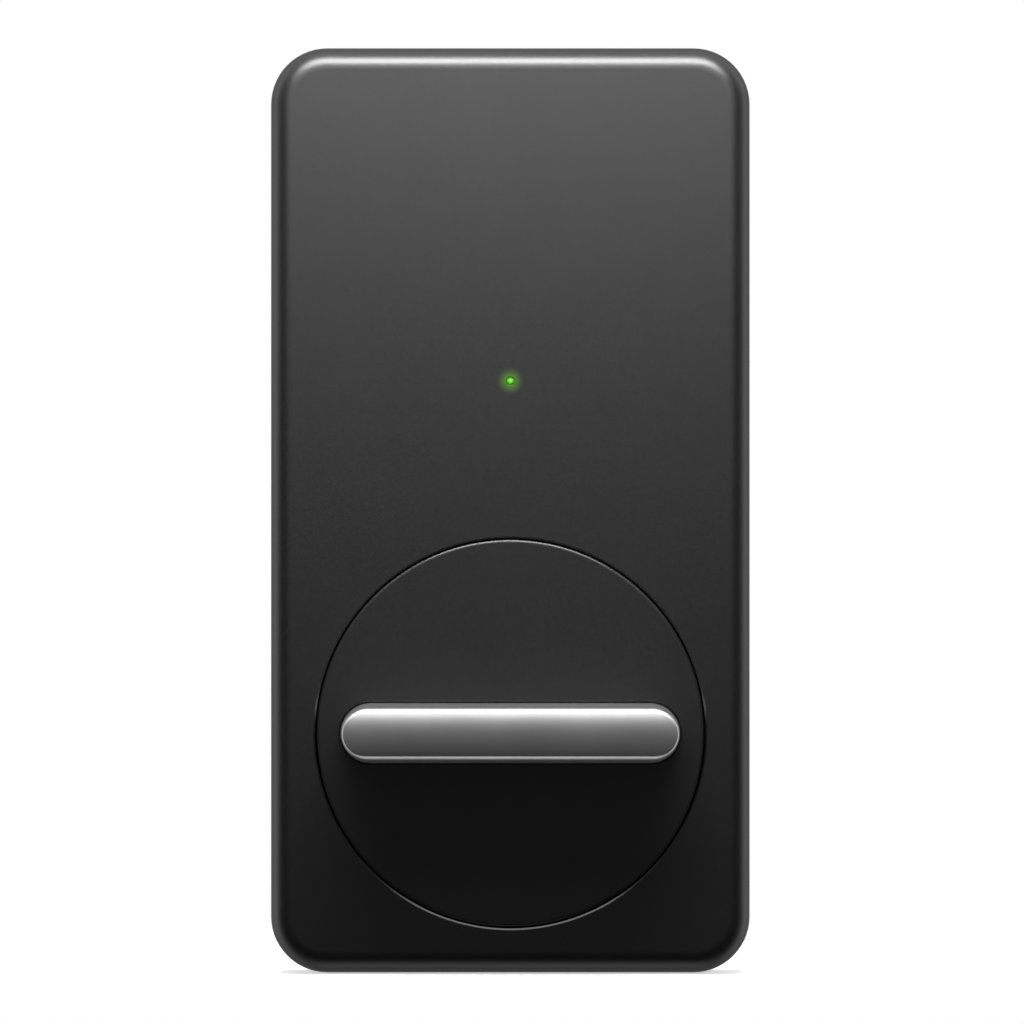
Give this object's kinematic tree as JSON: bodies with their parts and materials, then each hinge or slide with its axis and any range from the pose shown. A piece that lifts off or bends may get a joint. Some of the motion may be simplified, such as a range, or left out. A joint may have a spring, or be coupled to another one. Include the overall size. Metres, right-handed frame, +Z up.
{
  "type": "smart door lock turn unit",
  "caption": "Indoor turn unit of a smart door lock: slim upright box with a round turning disc, a metal finger bar and a small status light.",
  "frame": {"origin": "on the turn axis, in the plane of the door's surface", "axes": "+Z up the door, +X to the right as seen from the room, +Y into the door; the finger bar points along -Y"},
  "size_m": [0.058, 0.073, 0.112],
  "materials": {
    "shell_plastic": "fine matt moulded texture",
    "cover_plastic": "fine matt moulded texture",
    "disc_plastic": "fine matt moulded texture",
    "bar_metal": "satin, fine blasted",
    "pad_foam": "closed-cell foam",
    "plate_metal": "bead-blasted",
    "screw_steel": "zinc-plated",
    "adaptor_plastic": "glass-filled",
    "soft_rubber": "matt",
    "spindle_steel": "turned",
    "spring_steel": "oiled",
    "gear_plastic": "acetal",
    "bush_brass": "turned",
    "gearbox_plastic": "glass-filled",
    "axle_steel": "ground",
    "motor_steel": "drawn can",
    "lead_insulation": "smooth",
    "chassis_plastic": "fine matt",
    "board_laminate": "solder mask",
    "shield_tin": "tinned",
    "chip_plastic": "moulded",
    "led_resin": "clear resin",
    "light_pipe": "lit",
    "button_plastic": "satin",
    "cell_wrap": "shrink sleeve",
    "contact_metal": "nickel-gold plated",
    "magnet_nickel": "plated",
    "seal_felt": "felt"
  },
  "bodies": {
    "lock_body": {"housing": "shell_plastic", "adhesive_pad": "pad_foam", "mount_plate": "plate_metal", "plate_screws": "screw_steel", "rear_bush": "bush_brass", "front_bush": "bush_brass", "gearbox_base": "gearbox_plastic", "gearbox_cover": "gearbox_plastic", "gearbox_screws": "screw_steel", "gear_axles": "axle_steel", "motor": "motor_steel", "motor_screws": "screw_steel", "motor_leads": "lead_insulation", "chassis": "chassis_plastic", "chassis_screws": "screw_steel", "circuit_board": "board_laminate", "board_screws": "screw_steel", "radio_module": "shield_tin", "control_chip": "chip_plastic", "driver_chip": "chip_plastic", "buzzer": "chip_plastic", "status_led": "led_resin", "light_pipe": "light_pipe", "setup_switch": "shield_tin", "battery_upper": "cell_wrap", "battery_lower": "cell_wrap", "battery_springs": "contact_metal", "battery_contacts": "contact_metal", "dust_seal": "seal_felt"},
    "cover": {"front_cover": "cover_plastic", "cover_magnets": "magnet_nickel"},
    "turn_knob": {"knob_disc": "disc_plastic", "knob_bar": "bar_metal", "knob_bar_screws": "screw_steel", "spindle": "spindle_steel", "spindle_screws": "screw_steel", "spindle_clip": "spring_steel", "output_gear": "gear_plastic", "turn_adaptor": "adaptor_plastic", "adaptor_pads": "soft_rubber", "adaptor_screw": "screw_steel"},
    "second_gear_unit": {"second_gear": "gear_plastic"},
    "first_gear_unit": {"first_gear": "gear_plastic"},
    "motor_rotor": {"motor_shaft": "axle_steel", "motor_pinion": "bush_brass"},
    "button": {"setup_button": "button_plastic"}
  },
  "joints": [
    {"name": "knob_turn", "type": "hinge", "parent": "lock_body", "child": "turn_knob", "pos_m": [0, 0, 0], "axis": [0, -1, 0], "continuous": true},
    {"name": "second_gear_spin", "type": "hinge", "parent": "lock_body", "child": "second_gear_unit", "pos_m": [0.01035, 0, 0.0222], "axis": [0, -1, 0], "continuous": true},
    {"name": "first_gear_spin", "type": "hinge", "parent": "lock_body", "child": "first_gear_unit", "pos_m": [0.00444, 0, 0.03489], "axis": [0, -1, 0], "continuous": true},
    {"name": "rotor_spin", "type": "hinge", "parent": "lock_body", "child": "motor_rotor", "pos_m": [-0.00006, 0, 0.04602], "axis": [0, -1, 0], "continuous": true},
    {"name": "cover_pull", "type": "slide", "parent": "lock_body", "child": "cover", "axis": [0, -1, 0], "range_m": [0, 0.04]},
    {"name": "button_press", "type": "slide", "parent": "lock_body", "child": "button", "axis": [0, 1, 0], "range_m": [0, 0.0005], "stiffness_N_per_m": 1500}
  ],
  "couplings": [
    {"joint": "second_gear_spin", "follows": "knob_turn", "ratio": -4},
    {"joint": "first_gear_spin", "follows": "knob_turn", "ratio": 12},
    {"joint": "rotor_spin", "follows": "knob_turn", "ratio": -36}
  ]
}
